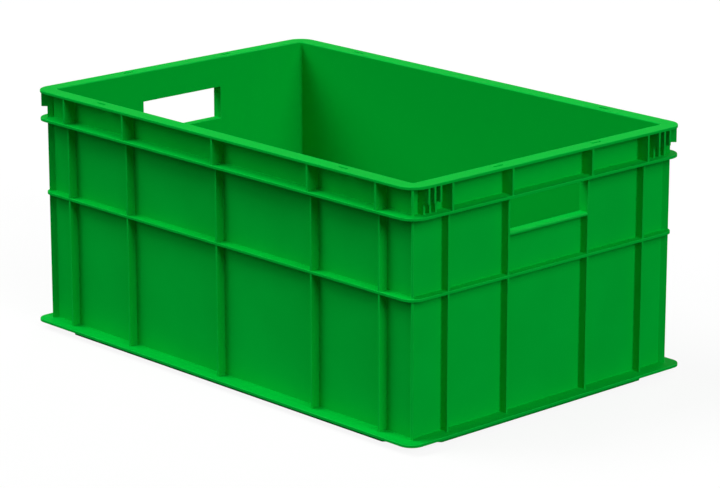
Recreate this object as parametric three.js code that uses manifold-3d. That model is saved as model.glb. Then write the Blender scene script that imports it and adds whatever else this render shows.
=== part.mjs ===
// A green plastic storage crate with straight ribbed walls, on the common 600 by 400 mm footprint.
//
// The real crate is one moulding. Here it is built as the plates, wall bands, sills and fins that
// the moulding is made up of. Each meets its neighbours face to face.
//
// Millimetres. X runs along the crate, Y across it and Z up. The origin is the middle of the
// underside of the foot. The front is the long side at -Y, and the right end is at +X.

import * as THREE from 'three';
import { mergeVertices } from 'three/addons/utils/BufferGeometryUtils.js';
import Module from 'manifold-3d';

// Overall size, with every inset below measured inwards from the footprint's edge
const FOOTPRINT_LENGTH = 600;
const FOOTPRINT_WIDTH = 400;
const CRATE_HEIGHT = 270;

// Walls
const WALL_INSET = 18.5;
const WALL_THICKNESS = 2.5;
const INSIDE_CORNER_RADIUS = 3;

// Rim round the top
const RIM_INSET = 3;
const RIM_THICKNESS = 3;
const RIM_CORNER_RADIUS = 20;
const RIM_OUTER_EDGE_RADIUS = 1;
const RIM_INNER_EDGE_RADIUS = 1.5;

// Slots through the rim, placed from the middle of their side
const SLOT_LENGTH = 14;
const SLOT_WIDTH = 3;
const SLOT_EDGE_DISTANCE = 9.5;
const LONG_SIDE_SLOT_PLACE = 189.5;
const END_SLOT_PLACE = 70.5;

// Upper belt, as wide as the rim
const UPPER_BELT_DROP = 31;
const UPPER_BELT_INSET = 3;
const UPPER_BELT_THICKNESS = 3;
const UPPER_BELT_CORNER_RADIUS = 20;
const UPPER_BELT_EDGE_RADIUS = 1;

// Middle belt, flush with the ribs
const MIDDLE_BELT_DROP = 83;
const MIDDLE_BELT_INSET = 8.5;
const MIDDLE_BELT_THICKNESS = 3;
const MIDDLE_BELT_CORNER_RADIUS = 14.5;
const MIDDLE_BELT_EDGE_RADIUS = 1;

// Base plate: a flange outside the walls and the floor inside them
const BASE_THICKNESS = 3;
const FLANGE_CORNER_RADIUS = 15;
const FLANGE_EDGE_RADIUS = 1;

// Stacking foot, a low upright band with cut-off corners
const FOOT_HEIGHT = 8;
const FOOT_INSET = 15;
const FOOT_BAND_THICKNESS = 3;
const FOOT_CHAMFER = 41;

// Stiffening ribs under the floor
const FLOOR_RIB_THICKNESS = 2;
const FLOOR_RIB_GROUND_CLEARANCE = 1.5;
const FLOOR_RIBS_ALONG = 6;
const FLOOR_RIBS_ACROSS = 10;

// Upright ribs on the walls
const RIB_THICKNESS = 2.5;
const UPPER_RIB_SETBACK = 0.5;
const LONG_SIDE_RIB_PITCH = 145;
const LONG_SIDE_CORNER_BAY = 37.5;
const END_CORNER_BAY = 40.5;

// Hand hole in each end, between the two ribs nearest the middle
const HAND_HOLE_RIB_PLACE = 57.5;
const HAND_HOLE_HEIGHT = 36.5;
const SILL_THICKNESS = 3;
const SILL_EDGE_RADIUS = 2;

// Notched fins beside each corner, on the ends only
const COMB_FIN_COUNT = 3;
const COMB_FIN_THICKNESS = 2.5;
const COMB_FIRST_BAY = 8;
const COMB_FIN_PITCH = 8;
const COMB_FOOT_INSET = 10.5;
const NOTCH_HEIGHT = 11.6;
const NOTCH_FILLET = 2;

// Fin that stands out diagonally from each corner of the walls
const CORNER_FIN_THICKNESS = 2.5;
const CORNER_FIN_REACH = 6;
const CORNER_FIN_TOP_REACH = 12.5;

// Finish
const PLASTIC_COLOUR = 0x0aa63f;
const PLASTIC_ROUGHNESS = 0.42;

// Number of flats that stand for a quarter turn, round a corner and over an edge
const CORNER_STEPS = 8;
const EDGE_STEPS = 3;

// Levels, from the ground up
const flangeBottom = FOOT_HEIGHT;
const flangeTop = flangeBottom + BASE_THICKNESS;
const rimTop = CRATE_HEIGHT;
const rimBottom = rimTop - RIM_THICKNESS;
const upperBeltTop = rimTop - UPPER_BELT_DROP;
const upperBeltBottom = upperBeltTop - UPPER_BELT_THICKNESS;
const middleBeltTop = upperBeltTop - MIDDLE_BELT_DROP;
const middleBeltBottom = middleBeltTop - MIDDLE_BELT_THICKNESS;
const sillTop = upperBeltBottom - HAND_HOLE_HEIGHT;
const sillBottom = sillTop - SILL_THICKNESS;
const notchLevel = upperBeltTop + NOTCH_HEIGHT;

// Half sizes in plan
const rimHalf = halfSize(RIM_INSET);
const wallOuter = halfSize(WALL_INSET);
const wallInner = halfSize(WALL_INSET + WALL_THICKNESS);

const wasm = await Module();
wasm.setup();

/** Half the length and half the width of the plan rectangle that lies this far inside the footprint. */
function halfSize(inset) {
  return { x: FOOTPRINT_LENGTH / 2 - inset, y: FOOTPRINT_WIDTH / 2 - inset };
}

/** A closed three.js mesh as a solid that can be joined and cut. */
function toSolid(geometry) {
  const bare = geometry.clone();
  bare.deleteAttribute('normal');
  bare.deleteAttribute('uv');
  const merged = mergeVertices(bare);
  return new wasm.Manifold(new wasm.Mesh({
    numProp: 3,
    vertProperties: merged.attributes.position.array,
    triVerts: new Uint32Array(merged.index.array),
  }));
}

/** A joined or cut solid back as three.js geometry. */
function toGeometry(solid) {
  const mesh = solid.getMesh();
  const geometry = new THREE.BufferGeometry();
  geometry.setAttribute('position', new THREE.BufferAttribute(mesh.vertProperties, 3));
  geometry.setIndex(new THREE.BufferAttribute(mesh.triVerts, 1));
  return geometry;
}

/** A plan outline carried straight up from one level to another. */
function upright(shape, bottom, top) {
  const geometry = new THREE.ExtrudeGeometry(shape, {
    depth: top - bottom,
    bevelEnabled: false,
    curveSegments: CORNER_STEPS / 2,
  });
  return geometry.translate(0, 0, bottom);
}

/** A section drawn as (outwards, up) and carried along the wall, centred on `place`. */
function alongWall(section, length, place) {
  const geometry = new THREE.ExtrudeGeometry(section, {
    depth: length,
    bevelEnabled: false,
    curveSegments: EDGE_STEPS,
  });
  const turned = new THREE.Matrix4().makeBasis(
    new THREE.Vector3(0, 1, 0),
    new THREE.Vector3(0, 0, 1),
    new THREE.Vector3(1, 0, 0),
  );
  return geometry.applyMatrix4(turned).translate(place - length / 2, 0, 0);
}

/** An upright block from one plan corner to the other. */
function block(low, high, bottom, top) {
  const outline = new THREE.Shape([
    new THREE.Vector2(low.x, low.y),
    new THREE.Vector2(high.x, low.y),
    new THREE.Vector2(high.x, high.y),
    new THREE.Vector2(low.x, high.y),
  ]);
  return upright(outline, bottom, top);
}

/**
 * Skin over a row of loops that have equally many points, each walked anticlockwise.
 * A closed row ends where it began, as a ring's section does. An open one gets a flat cap at each end.
 */
function skin(loops, closed) {
  const count = loops[0].length;
  const triangles = [];
  const bands = closed ? loops.length : loops.length - 1;
  for (let band = 0; band < bands; band += 1) {
    const from = band * count;
    const to = ((band + 1) % loops.length) * count;
    for (let i = 0; i < count; i += 1) {
      const next = (i + 1) % count;
      triangles.push(from + i, from + next, to + next);
      triangles.push(from + i, to + next, to + i);
    }
  }
  if (!closed) {
    const last = (loops.length - 1) * count;
    for (const [a, b, c] of THREE.ShapeUtils.triangulateShape(loops[0], [])) {
      triangles.push(a, c, b);
    }
    for (const [a, b, c] of THREE.ShapeUtils.triangulateShape(loops[loops.length - 1], [])) {
      triangles.push(last + a, last + b, last + c);
    }
  }
  const geometry = new THREE.BufferGeometry().setFromPoints(loops.flat());
  geometry.setIndex(triangles);
  return geometry;
}

/** One loop of a rectangle with rounded corners, at the height z. */
function roundedLoop(half, radius, z) {
  const loop = [];
  const corners = [[1, 1], [-1, 1], [-1, -1], [1, -1]];
  corners.forEach(([sideX, sideY], quarter) => {
    const centreX = sideX * (half.x - radius);
    const centreY = sideY * (half.y - radius);
    for (let step = 0; step <= CORNER_STEPS; step += 1) {
      const angle = (quarter + step / CORNER_STEPS) * Math.PI / 2;
      const x = centreX + radius * Math.cos(angle);
      const y = centreY + radius * Math.sin(angle);
      loop.push(new THREE.Vector3(x, y, z));
    }
  });
  return loop;
}

/** Loops that take a flat plate's outer edge over a quarter round, up to its top face. */
function roundedEdge(half, cornerRadius, top, edgeRadius) {
  const loops = [];
  for (let step = 0; step <= EDGE_STEPS; step += 1) {
    const angle = (step / EDGE_STEPS) * Math.PI / 2;
    const shrink = edgeRadius * (1 - Math.cos(angle));
    const z = top - edgeRadius * (1 - Math.sin(angle));
    const inner = { x: half.x - shrink, y: half.y - shrink };
    loops.push(roundedLoop(inner, cornerRadius - shrink, z));
  }
  return loops;
}

/**
 * A flat ring that runs round the crate, from the walls' inner face out to an inset.
 * Its outer top edge is rounded, and so is the inner one where that has a radius.
 */
function plateRing(ring) {
  const outer = halfSize(ring.inset);
  const loops = [roundedLoop(outer, ring.cornerRadius, ring.bottom)];
  loops.push(...roundedEdge(outer, ring.cornerRadius, ring.top, ring.edgeRadius));
  if (ring.innerEdgeRadius) {
    // The same quarter round, turned inside out, widens the opening towards the top
    for (let step = 0; step < EDGE_STEPS; step += 1) {
      const angle = (step / EDGE_STEPS) * Math.PI / 2;
      const widen = ring.innerEdgeRadius * (1 - Math.sin(angle));
      const z = ring.top - ring.innerEdgeRadius * (1 - Math.cos(angle));
      const inner = { x: wallInner.x + widen, y: wallInner.y + widen };
      loops.push(roundedLoop(inner, INSIDE_CORNER_RADIUS + widen, z));
    }
    loops.push(roundedLoop(wallInner, INSIDE_CORNER_RADIUS, ring.top - ring.innerEdgeRadius));
  } else {
    loops.push(roundedLoop(wallInner, INSIDE_CORNER_RADIUS, ring.top));
  }
  loops.push(roundedLoop(wallInner, INSIDE_CORNER_RADIUS, ring.bottom));
  return skin(loops, true);
}

/** A slot's outline with round ends, lying along X or along Y. */
function slotShape(centreX, centreY, liesAlongX) {
  const radius = SLOT_WIDTH / 2;
  const straight = SLOT_LENGTH / 2 - radius;
  const dx = liesAlongX ? straight : 0;
  const dy = liesAlongX ? 0 : straight;
  const start = liesAlongX ? -Math.PI / 2 : 0;
  const shape = new THREE.Shape();
  shape.absarc(centreX + dx, centreY + dy, radius, start, start + Math.PI, false);
  shape.absarc(centreX - dx, centreY - dy, radius, start + Math.PI, start + 2 * Math.PI, false);
  return shape;
}

/** The rim with its eight slots, two on each side. */
function topRim() {
  let rim = toSolid(plateRing({
    inset: RIM_INSET,
    cornerRadius: RIM_CORNER_RADIUS,
    bottom: rimBottom,
    top: rimTop,
    edgeRadius: RIM_OUTER_EDGE_RADIUS,
    innerEdgeRadius: RIM_INNER_EDGE_RADIUS,
  }));
  const longSideLine = rimHalf.y - SLOT_EDGE_DISTANCE;
  const endLine = rimHalf.x - SLOT_EDGE_DISTANCE;
  for (const sideX of [-1, 1]) {
    for (const sideY of [-1, 1]) {
      const slots = [
        slotShape(sideX * LONG_SIDE_SLOT_PLACE, sideY * longSideLine, true),
        slotShape(sideX * endLine, sideY * END_SLOT_PLACE, false),
      ];
      for (const slot of slots) {
        rim = rim.subtract(toSolid(upright(slot, rimBottom - RIM_THICKNESS, rimTop + RIM_THICKNESS)));
      }
    }
  }
  return toGeometry(rim);
}

/** Corner points of a rectangle with cut-off corners, anticlockwise. */
function chamferedOutline(half, chamfer) {
  return [
    new THREE.Vector2(half.x, chamfer - half.y),
    new THREE.Vector2(half.x, half.y - chamfer),
    new THREE.Vector2(half.x - chamfer, half.y),
    new THREE.Vector2(chamfer - half.x, half.y),
    new THREE.Vector2(-half.x, half.y - chamfer),
    new THREE.Vector2(-half.x, chamfer - half.y),
    new THREE.Vector2(chamfer - half.x, -half.y),
    new THREE.Vector2(half.x - chamfer, -half.y),
  ];
}

/** Outline of the space inside the foot's band, which keeps one thickness round the cut-off corners. */
function footInside() {
  const narrowing = FOOT_BAND_THICKNESS * (2 - Math.SQRT2);
  return chamferedOutline(halfSize(FOOT_INSET + FOOT_BAND_THICKNESS), FOOT_CHAMFER - narrowing);
}

/** The band that the crate stands on. */
function stackingFoot() {
  const band = new THREE.Shape(chamferedOutline(halfSize(FOOT_INSET), FOOT_CHAMFER));
  band.holes.push(new THREE.Path(footInside()));
  return upright(band, 0, FOOT_HEIGHT);
}

/** The floor, flush with the flange and inside the walls' lines. */
function floorPanel() {
  const radius = INSIDE_CORNER_RADIUS;
  return skin([roundedLoop(wallInner, radius, flangeBottom), roundedLoop(wallInner, radius, flangeTop)], false);
}

/** Crossed ribs under the floor, which end on the foot's band and stay clear of the ground. */
function floorRibs() {
  const half = halfSize(FOOT_INSET + FOOT_BAND_THICKNESS);
  const inside = toSolid(upright(new THREE.Shape(footInside()), FLOOR_RIB_GROUND_CLEARANCE, flangeBottom));
  const outside = { x: half.x + FOOT_BAND_THICKNESS / 2, y: half.y + FOOT_BAND_THICKNESS / 2 };
  const side = FLOOR_RIB_THICKNESS / 2;
  const ribs = [];
  for (let i = 1; i <= FLOOR_RIBS_ACROSS; i += 1) {
    const x = half.x * (2 * i / (FLOOR_RIBS_ACROSS + 1) - 1);
    ribs.push([{ x: x - side, y: -outside.y }, { x: x + side, y: outside.y }]);
  }
  for (let i = 1; i <= FLOOR_RIBS_ALONG; i += 1) {
    const y = half.y * (2 * i / (FLOOR_RIBS_ALONG + 1) - 1);
    ribs.push([{ x: -outside.x, y: y - side }, { x: outside.x, y: y + side }]);
  }
  const solids = ribs.map(([low, high]) => toSolid(block(low, high, 0, FOOT_HEIGHT)));
  const grid = solids.reduce((joined, rib) => joined.add(rib));
  return toGeometry(grid.intersect(inside));
}

/**
 * Plan outline of one wall with its upright ribs, drawn as (along the wall, outwards).
 * The long walls run past the end walls and carry the rounded inside corners.
 */
function wallOutline(side, ribFront) {
  const { wallEnd, inner, outer } = side;
  const points = [new THREE.Vector2(wallEnd, outer)];
  const half = RIB_THICKNESS / 2;
  for (const rib of [...side.ribs].sort((a, b) => b - a)) {
    points.push(new THREE.Vector2(rib + half, outer), new THREE.Vector2(rib + half, ribFront));
    points.push(new THREE.Vector2(rib - half, ribFront), new THREE.Vector2(rib - half, outer));
  }
  points.push(new THREE.Vector2(-wallEnd, outer), new THREE.Vector2(-wallEnd, inner));
  const shape = new THREE.Shape(points);
  if (side.insideEnd) {
    const radius = INSIDE_CORNER_RADIUS;
    const { insideEnd } = side;
    shape.lineTo(-insideEnd, inner);
    shape.lineTo(-insideEnd, inner - radius);
    shape.absarc(radius - insideEnd, inner - radius, radius, Math.PI, Math.PI / 2, true);
    shape.lineTo(insideEnd - radius, inner);
    shape.absarc(insideEnd - radius, inner - radius, radius, Math.PI / 2, 0, true);
    shape.lineTo(insideEnd, inner);
  }
  shape.lineTo(wallEnd, inner);
  return shape;
}

/** Half the clear width between the two ribs that frame a hand hole. */
function handHoleHalfWidth() {
  return HAND_HOLE_RIB_PLACE - RIB_THICKNESS / 2;
}

/** The middle band of an end wall, cut away between its two inner ribs for the hand hole and its sill. */
function handHoleBand(side, ribFront) {
  const band = toSolid(upright(wallOutline(side, ribFront), middleBeltTop, upperBeltBottom));
  const halfWidth = handHoleHalfWidth();
  const hole = block(
    { x: -halfWidth, y: side.inner - WALL_THICKNESS },
    { x: halfWidth, y: side.outer },
    sillBottom,
    upperBeltTop,
  );
  return toGeometry(band.subtract(toSolid(hole)));
}

/** The shelf along the bottom of a hand hole, with a rounded front edge. */
function handHoleSill(side, ribFront) {
  const radius = SILL_EDGE_RADIUS;
  const section = new THREE.Shape();
  section.moveTo(side.inner, sillBottom);
  section.lineTo(ribFront, sillBottom);
  section.lineTo(ribFront, sillTop - radius);
  section.absarc(ribFront - radius, sillTop - radius, radius, 0, Math.PI / 2, false);
  section.lineTo(side.inner, sillTop);
  return alongWall(section, 2 * handHoleHalfWidth(), 0);
}

/** A fin between the upper belt and the rim, notched at its foot. */
function combFin(side, front, place) {
  const footFront = side.outer + WALL_INSET - COMB_FOOT_INSET;
  const radius = NOTCH_FILLET;
  const section = new THREE.Shape();
  section.moveTo(side.outer, upperBeltTop);
  section.lineTo(footFront, upperBeltTop);
  section.lineTo(footFront, notchLevel - radius);
  section.absarc(footFront + radius, notchLevel - radius, radius, Math.PI, Math.PI / 2, true);
  section.lineTo(front, notchLevel);
  section.lineTo(front, rimBottom);
  section.lineTo(side.outer, rimBottom);
  return alongWall(section, COMB_FIN_THICKNESS, place);
}

/** Plan loop of a corner fin, drawn from the walls' corner, with its tip this far out diagonally. */
function cornerFinLoop(reach, z) {
  const seat = CORNER_FIN_THICKNESS / Math.SQRT2;
  const tip = reach / Math.SQRT2;
  return [
    new THREE.Vector3(0, 0, z),
    new THREE.Vector3(0, -seat, z),
    new THREE.Vector3(tip + seat / 2, tip - seat / 2, z),
    new THREE.Vector3(tip - seat / 2, tip + seat / 2, z),
    new THREE.Vector3(-seat, 0, z),
  ];
}

/** A plain corner fin between two plates. */
function plainCornerFin(bottom, top) {
  return skin([cornerFinLoop(CORNER_FIN_REACH, bottom), cornerFinLoop(CORNER_FIN_REACH, top)], false);
}

/** The corner fin between the upper belt and the rim, which steps out above the notch. */
function notchedCornerFin() {
  const loops = [
    cornerFinLoop(CORNER_FIN_REACH, upperBeltTop),
    cornerFinLoop(CORNER_FIN_REACH, notchLevel),
    cornerFinLoop(CORNER_FIN_TOP_REACH, notchLevel),
    cornerFinLoop(CORNER_FIN_TOP_REACH, rimBottom),
  ];
  return skin(loops, false);
}

/** A named piece of the crate in the one green plastic. */
function piece(name, geometry) {
  geometry.computeVertexNormals();
  const material = new THREE.MeshStandardMaterial({
    color: PLASTIC_COLOUR,
    roughness: PLASTIC_ROUGHNESS,
    metalness: 0,
    flatShading: true,
  });
  const mesh = new THREE.Mesh(geometry, material);
  mesh.name = name;
  return mesh;
}

/** The plates that run all the way round, with the floor and the foot. */
function plates() {
  const group = new THREE.Group();
  const upperBelt = plateRing({
    inset: UPPER_BELT_INSET,
    cornerRadius: UPPER_BELT_CORNER_RADIUS,
    bottom: upperBeltBottom,
    top: upperBeltTop,
    edgeRadius: UPPER_BELT_EDGE_RADIUS,
  });
  const middleBelt = plateRing({
    inset: MIDDLE_BELT_INSET,
    cornerRadius: MIDDLE_BELT_CORNER_RADIUS,
    bottom: middleBeltBottom,
    top: middleBeltTop,
    edgeRadius: MIDDLE_BELT_EDGE_RADIUS,
  });
  const flange = plateRing({
    inset: 0,
    cornerRadius: FLANGE_CORNER_RADIUS,
    bottom: flangeBottom,
    top: flangeTop,
    edgeRadius: FLANGE_EDGE_RADIUS,
  });
  group.add(
    piece('top_rim', topRim()),
    piece('upper_belt', upperBelt),
    piece('middle_belt', middleBelt),
    piece('base_flange', flange),
    piece('stacking_foot', stackingFoot()),
    piece('floor_panel', floorPanel()),
    piece('floor_ribs', floorRibs()),
  );
  return group;
}

/**
 * One side of the crate: three bands of wall between the plates, and on an end the sill and the comb fins.
 * It is drawn as the back, facing +Y, and turned to its place.
 */
function crateSide(side) {
  const group = new THREE.Group();
  const edge = side.outer + WALL_INSET;
  const lowerFront = edge - MIDDLE_BELT_INSET;
  const upperFront = edge - RIM_INSET - UPPER_RIB_SETBACK;
  const lowerOutline = wallOutline(side, lowerFront);
  const middleBand = side.handHole
    ? handHoleBand(side, lowerFront)
    : upright(lowerOutline, middleBeltTop, upperBeltBottom);
  group.add(
    piece(`${side.name}_wall_lower`, upright(lowerOutline, flangeTop, middleBeltBottom)),
    piece(`${side.name}_wall_middle`, middleBand),
    piece(`${side.name}_wall_upper`, upright(wallOutline(side, upperFront), upperBeltTop, rimBottom)),
  );
  if (side.handHole) {
    group.add(piece(`${side.name}_hand_hole_sill`, handHoleSill(side, lowerFront)));
    const places = [];
    for (let i = 0; i < COMB_FIN_COUNT; i += 1) {
      const place = wallOuter.y - COMB_FIRST_BAY - i * COMB_FIN_PITCH;
      places.push(-place, place);
    }
    places.sort((a, b) => a - b);
    places.forEach((place, index) => {
      group.add(piece(`${side.name}_comb_fin_${index + 1}`, combFin(side, upperFront, place)));
    });
  }
  group.rotation.z = side.turn;
  return group;
}

/** The three lengths of the fin on one corner of the walls. */
function cornerFins(corner) {
  const group = new THREE.Group();
  group.add(
    piece(`${corner.name}_fin_lower`, plainCornerFin(flangeTop, middleBeltBottom)),
    piece(`${corner.name}_fin_middle`, plainCornerFin(middleBeltTop, upperBeltBottom)),
    piece(`${corner.name}_fin_upper`, notchedCornerFin()),
  );
  group.position.set(corner.sideX * wallOuter.x, corner.sideY * wallOuter.y, 0);
  group.rotation.z = corner.turn;
  return group;
}

const longSideLastRib = wallOuter.x - LONG_SIDE_CORNER_BAY;
const endLastRib = wallOuter.y - END_CORNER_BAY;

const longSide = {
  wallEnd: wallOuter.x,
  insideEnd: wallInner.x,
  inner: wallInner.y,
  outer: wallOuter.y,
  ribs: [-longSideLastRib, -LONG_SIDE_RIB_PITCH, 0, LONG_SIDE_RIB_PITCH, longSideLastRib],
  handHole: false,
};

const endSide = {
  wallEnd: wallInner.y,
  inner: wallInner.x,
  outer: wallOuter.x,
  ribs: [-endLastRib, -HAND_HOLE_RIB_PLACE, HAND_HOLE_RIB_PLACE, endLastRib],
  handHole: true,
};

const sides = [
  { ...longSide, name: 'back', turn: 0 },
  { ...endSide, name: 'left', turn: Math.PI / 2 },
  { ...longSide, name: 'front', turn: Math.PI },
  { ...endSide, name: 'right', turn: -Math.PI / 2 },
];

const corners = [
  { name: 'back_right', sideX: 1, sideY: 1, turn: 0 },
  { name: 'back_left', sideX: -1, sideY: 1, turn: Math.PI / 2 },
  { name: 'front_left', sideX: -1, sideY: -1, turn: Math.PI },
  { name: 'front_right', sideX: 1, sideY: -1, turn: -Math.PI / 2 },
];

const crate = new THREE.Group();
crate.name = 'storage_crate';
crate.add(plates());
for (const side of sides) {
  crate.add(crateSide(side));
}
for (const corner of corners) {
  crate.add(cornerFins(corner));
}

export default crate;
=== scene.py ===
"""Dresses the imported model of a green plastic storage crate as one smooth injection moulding.

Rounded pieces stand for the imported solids: the foot, the ribs under the floor, the base plate,
three bands of ribbed wall, two belts, the notched fins at the corners and the rim. Every piece is
closed and meets its neighbours face to face, with a fillet where the real moulding has one, so that
the joins don't show.

Sizes are in millimetres until a mesh is made. X runs along the crate, Y across it and Z up from the
ground. The right end is at +X and the front at -Y.
"""

from __future__ import annotations

import logging
import math
from collections.abc import Iterator
from dataclasses import KW_ONLY, dataclass, field
from enum import Enum
from functools import cached_property
from itertools import product
from typing import NamedTuple, Union

import bpy
import numpy as np
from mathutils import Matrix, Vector
from mathutils.geometry import delaunay_2d_cdt

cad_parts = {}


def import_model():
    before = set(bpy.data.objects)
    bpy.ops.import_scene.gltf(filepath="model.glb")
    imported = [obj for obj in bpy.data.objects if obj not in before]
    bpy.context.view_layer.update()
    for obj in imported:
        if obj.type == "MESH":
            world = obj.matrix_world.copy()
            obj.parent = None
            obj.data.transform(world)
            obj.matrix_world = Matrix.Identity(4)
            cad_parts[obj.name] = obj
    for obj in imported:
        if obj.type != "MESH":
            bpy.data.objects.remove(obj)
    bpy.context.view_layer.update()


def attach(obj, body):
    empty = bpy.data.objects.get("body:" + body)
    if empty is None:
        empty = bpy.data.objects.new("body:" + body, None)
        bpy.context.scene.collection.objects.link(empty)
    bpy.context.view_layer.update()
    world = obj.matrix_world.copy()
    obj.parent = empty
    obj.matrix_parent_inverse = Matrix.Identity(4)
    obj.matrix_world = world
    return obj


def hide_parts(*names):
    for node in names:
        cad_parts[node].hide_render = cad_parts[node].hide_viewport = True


Pair = tuple[float, float]
Triple = tuple[float, float, float]
Colour = tuple[float, float, float, float]
Socket = bpy.types.NodeSocket
Feed = Union[Socket, float, tuple[float, ...]]

MM = 0.001
QUARTER = math.pi / 2
WHITE: Colour = (1.0, 1.0, 1.0, 1.0)

# Turns and lengths under this count as none.
TINY = 1e-6
# Points of a flat that are nearer than this are merged.
MERGE_DISTANCE = 1e-7
# An upright edge with a smaller radius than this is painted pale: part rubbing, part painted
# highlight.
EDGE_RADIUS_LIMIT = 2.5
# Steps across an end's round or fillet: fewer where its radius is under SMALL_ROUND.
SMALL_ROUND = 1.2
SMALL_ROUND_STEPS = 3
LARGE_ROUND_STEPS = 5
# Steps in a quarter turn of an arc whose radius is under each limit.
ARC_STEPS = ((0.7, 3), (3.0, 4), (10.0, 6), (math.inf, 12))
# How much shorter a corner cut at 45 degrees gets for each millimetre that its outline moves in.
CUT_SHRINK = 2.0 - math.sqrt(2.0)

log = logging.getLogger("crate")


class EndStyle(Enum):
    """How the side of a piece meets the flat at one of its ends."""

    SQUARE = "square"
    ROUNDED = "rounded"
    FLARED = "flared"


@dataclass(frozen=True)
class End:
    """One end of a piece's side: its style, and the radius of the round or the fillet."""

    style: EndStyle = EndStyle.SQUARE
    radius: float = 0.0

    def rings(self, level: float, upwards: bool) -> list[Triple]:
        """Rings that take the side from this end to its upright part.

        Args:
            level: Height of the flat at this end.
            upwards: True for the top end, which the rings are walked up to.

        Returns:
            Height, outward offset and tilt of the surface for each ring, from the bottom up.
        """
        if self.style is EndStyle.SQUARE:
            return [(level, 0.0, 0.0)]
        steps = SMALL_ROUND_STEPS if self.radius < SMALL_ROUND else LARGE_ROUND_STEPS
        sign = 1.0 if upwards else -1.0
        outwards = 1.0 if self.style is EndStyle.FLARED else -1.0
        rings = []
        for step in range(steps + 1):
            angle = QUARTER * step / steps
            reach = self.radius * (1.0 - math.cos(angle))
            rise = self.radius * (1.0 - math.sin(angle))
            rings.append((level - sign * rise, outwards * reach, -outwards * sign * angle))
        return rings if upwards else rings[::-1]


SQUARE = End()


def rounded(radius: float) -> End:
    """An end with a round of this radius."""
    return End(EndStyle.ROUNDED, radius)


def flared(radius: float) -> End:
    """An end with a fillet of this radius to the plate that it meets."""
    return End(EndStyle.FLARED, radius)


def arc_steps(radius: float, turn: float) -> int:
    """Number of straight steps that stand for an arc of this radius and turn."""
    per_quarter = next(steps for limit, steps in ARC_STEPS if radius < limit)
    return max(1, math.ceil(per_quarter * turn / QUARTER - TINY))


class Spot(NamedTuple):
    """A point of an outline, and how the side stands there.

    The crease is half the turn at a sharp corner, the flare is the share of an end's flare that the
    point takes, and rub_and_highlight is how pale the upright edge is painted: part rubbing, part
    painted highlight.
    """

    place: np.ndarray
    normal: Pair
    crease: float
    flare: float
    rub_and_highlight: float


@dataclass(frozen=True)
class Corner:
    """A corner of an outline: its place, its radius, and how much of an end's flare it takes."""

    x: float
    y: float
    radius: float = 0.0
    flare: float = 1.0

    def spots(self, before: np.ndarray, after: np.ndarray) -> list[Spot]:
        """Points that stand for the corner.

        Args:
            before: Direction of the outline up to the corner.
            after: Its direction from there on.

        Returns:
            One point for a sharp corner, or the points of an arc.
        """
        place = np.array((self.x, self.y))
        turn = math.atan2(before[0] * after[1] - before[1] * after[0], float(before @ after))
        start = math.atan2(-before[0], before[1])
        if self.radius == 0.0 or abs(turn) < TINY:
            middle = start + turn / 2
            return [Spot(place, (math.cos(middle), math.sin(middle)), turn / 2, self.flare, 0.0)]
        side = math.copysign(1.0, turn)
        tangent = self.radius * math.tan(abs(turn) / 2)
        first = place - before * tangent
        centre = first - side * self.radius * np.array((math.cos(start), math.sin(start)))
        steps = arc_steps(self.radius, abs(turn))
        is_edge = turn > 0.0 and self.radius < EDGE_RADIUS_LIMIT
        spots = []
        for step in range(steps + 1):
            angle = start + turn * step / steps
            normal = (math.cos(angle), math.sin(angle))
            # Paler towards the middle of a small convex round: part rubbing, part painted
            # highlight.
            rub_and_highlight = math.sin(math.pi * step / steps) if is_edge else 0.0
            point = centre + side * self.radius * np.array(normal)
            spots.append(Spot(point, normal, 0.0, self.flare, rub_and_highlight))
        return spots


@dataclass
class Loop:
    """A closed outline, walked with the plastic on its left, and the ends of the side on it."""

    corners: list[Corner]
    low: End = SQUARE
    high: End = SQUARE
    points: np.ndarray = field(init=False)
    normals: np.ndarray = field(init=False)
    creases: np.ndarray = field(init=False)
    flares: np.ndarray = field(init=False)
    rub_and_highlight: np.ndarray = field(init=False)

    def __post_init__(self) -> None:
        """Turns the corners into points, with arcs for the rounded ones."""
        places = np.array([(corner.x, corner.y) for corner in self.corners])
        ahead = np.roll(places, -1, axis=0) - places
        ahead /= np.linalg.norm(ahead, axis=1)[:, None]
        spots: list[Spot] = []
        for index, corner in enumerate(self.corners):
            spots.extend(corner.spots(ahead[index - 1], ahead[index]))
        columns = (np.array(column) for column in zip(*spots))
        self.points, self.normals, self.creases, self.flares, self.rub_and_highlight = columns

    def share(self, offset: float) -> np.ndarray:
        """How much of an offset each point takes: all of an inward one, its share of a flare."""
        return self.flares if offset > 0.0 else np.ones(len(self.flares))

    def ring(self, offset: float) -> np.ndarray:
        """The outline moved out by an offset."""
        return self.points + self.normals * (offset * self.share(offset))[:, None]

    def facing(self, offset: float, tilt: float, side: float) -> list[Triple]:
        """The surface's direction at each point of a ring.

        Args:
            offset: How far out the ring is.
            tilt: How far the surface leans up there.
            side: -1 for the face that leads to the point and 1 for the one that leaves it, as they
                differ at a sharp corner.

        Returns:
            A direction for each point.
        """
        tilts = tilt * self.share(offset)
        turned = np.arctan2(self.normals[:, 1], self.normals[:, 0]) + side * self.creases
        flat = np.cos(tilts)
        return list(zip(np.cos(turned) * flat, np.sin(turned) * flat, np.sin(tilts)))


def rectangle(
    half: Pair, radius: float, hole: bool = False, middle: Pair = (0.0, 0.0)
) -> list[Corner]:
    """Corners of a rectangle in plan.

    Args:
        half: Half its length and half its width.
        radius: Radius of its corners.
        hole: True to walk it clockwise, as a hole is, and not anticlockwise.
        middle: Its middle.

    Returns:
        The four corners.
    """
    signs = ((1, -1), (1, 1), (-1, 1), (-1, -1))
    places = [(middle[0] + sx * half[0], middle[1] + sy * half[1]) for sx, sy in signs]
    corners = [Corner(*place, radius) for place in places]
    return corners[::-1] if hole else corners


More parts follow.
